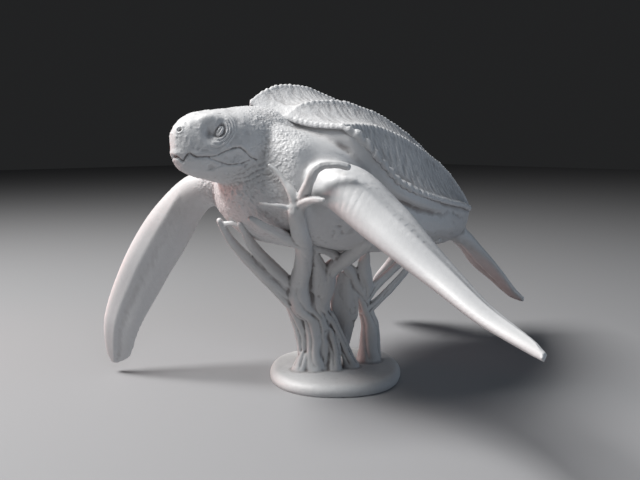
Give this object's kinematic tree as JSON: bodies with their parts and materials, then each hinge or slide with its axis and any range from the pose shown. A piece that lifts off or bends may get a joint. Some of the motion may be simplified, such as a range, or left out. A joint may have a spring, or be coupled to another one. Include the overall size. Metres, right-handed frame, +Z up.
{
  "type": "sea turtle statue on a coral stand",
  "caption": "Swimming leatherback sea turtle with a ridged shell and spread flippers, held up by a branching coral stand on a low round base.",
  "frame": {"origin": "centre of the round base's underside", "axes": "+Z up; the turtle swims towards -Y, and its left side is +X"},
  "size_m": [0.2639, 0.2319, 0.1603],
  "materials": {
    "turtle_resin": "pale grey cast resin, satin, with carved skin and shell relief",
    "coral_resin": "pale grey cast resin, satin, with grooved branches"
  },
  "bodies": {
    "root": {"sea_turtle": "turtle_resin", "coral_stand": "coral_resin"}
  },
  "joints": []
}
